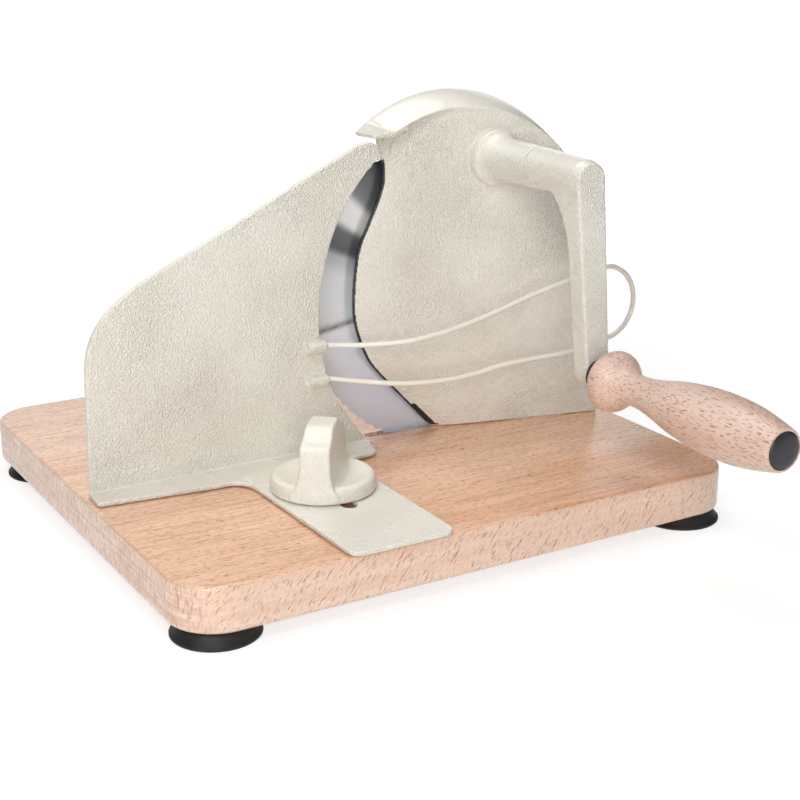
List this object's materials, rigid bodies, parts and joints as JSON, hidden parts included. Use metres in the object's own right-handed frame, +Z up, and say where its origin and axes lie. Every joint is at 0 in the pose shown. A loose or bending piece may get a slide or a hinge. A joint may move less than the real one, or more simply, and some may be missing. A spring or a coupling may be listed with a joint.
{
  "type": "hand cranked slicer",
  "caption": "Hand cranked food slicer on a wooden board, with a round serrated blade, a cast housing, a sliding stop plate and a wire guard.",
  "frame": {"origin": "on the worktop under the middle of the part's box", "axes": "+X to the right along the board, +Y away from the user who stands at the crank, +Z up"},
  "size_m": [0.3542, 0.4344, 0.2438],
  "materials": {
    "beech": "satin oiled",
    "rubber_black": "matt",
    "plated_steel": "bright plated",
    "cream_casting": "fine hammered enamel",
    "blade_steel": "turned and polished",
    "nylon": "satin",
    "brass": "turned",
    "black_plastic": "satin",
    "cream_wire": "smooth coating",
    "cream_plastic": "satin"
  },
  "bodies": {
    "base": {"board": "beech", "foot_front_left": "rubber_black", "foot_front_right": "rubber_black", "foot_back_left": "rubber_black", "foot_back_right": "rubber_black", "foot_screw_front_left": "plated_steel", "foot_screw_front_right": "plated_steel", "foot_screw_back_left": "plated_steel", "foot_screw_back_right": "plated_steel", "housing": "cream_casting", "housing_screw_1": "plated_steel", "housing_screw_2": "plated_steel", "housing_screw_3": "plated_steel", "blade_axle": "plated_steel", "blade_washer": "plated_steel", "blade_screw": "plated_steel", "crank_bush": "brass", "board_insert": "brass"},
    "crank": {"crank_arm": "cream_casting", "crank_shaft": "plated_steel", "crank_pinion": "plated_steel", "pinion_set_screw": "plated_steel", "crank_set_screw": "plated_steel", "grip_bolt": "plated_steel", "grip_washer": "black_plastic"},
    "grip": {"grip": "beech", "grip_cap": "black_plastic"},
    "blade": {"blade": "blade_steel", "blade_gear": "nylon", "blade_rivet_1": "plated_steel", "blade_rivet_2": "plated_steel", "blade_rivet_3": "plated_steel"},
    "plate": {"stop_plate": "cream_casting", "guard_wire": "cream_wire"},
    "knob_carrier": {"clamp_washer": "plated_steel"},
    "knob": {"clamp_knob": "cream_plastic", "clamp_stud": "plated_steel"}
  },
  "joints": [
    {"name": "crank_turn", "type": "hinge", "parent": "base", "child": "crank", "pos_m": [0.0899, -0.0058, 0.2041], "axis": [0, 1, 0], "continuous": true},
    {"name": "blade_turn", "type": "hinge", "parent": "base", "child": "blade", "pos_m": [0.0689, 0.0502, 0.1207], "axis": [0, 1, 0], "continuous": true},
    {"name": "grip_turn", "type": "hinge", "parent": "crank", "child": "grip", "pos_m": [0.0999, -0.1358, 0.0904], "axis": [0, 1, 0], "continuous": true},
    {"name": "plate_slide", "type": "slide", "parent": "base", "child": "plate", "axis": [0, 1, 0], "range_m": [-0.007, 0.0115]},
    {"name": "knob_lift", "type": "slide", "parent": "base", "child": "knob_carrier", "axis": [0, 0, 1], "range_m": [0, 0.00125]},
    {"name": "knob_turn", "type": "hinge", "parent": "knob_carrier", "child": "knob", "pos_m": [-0.0571, -0.0218, 0.0485], "axis": [0, 0, 1], "range_deg": [0, 360]}
  ],
  "couplings": [
    {"joint": "blade_turn", "follows": "crank_turn", "ratio": -0.43333},
    {"joint": "knob_lift", "follows": "knob_turn", "m_per_rad": 0.00019894}
  ]
}
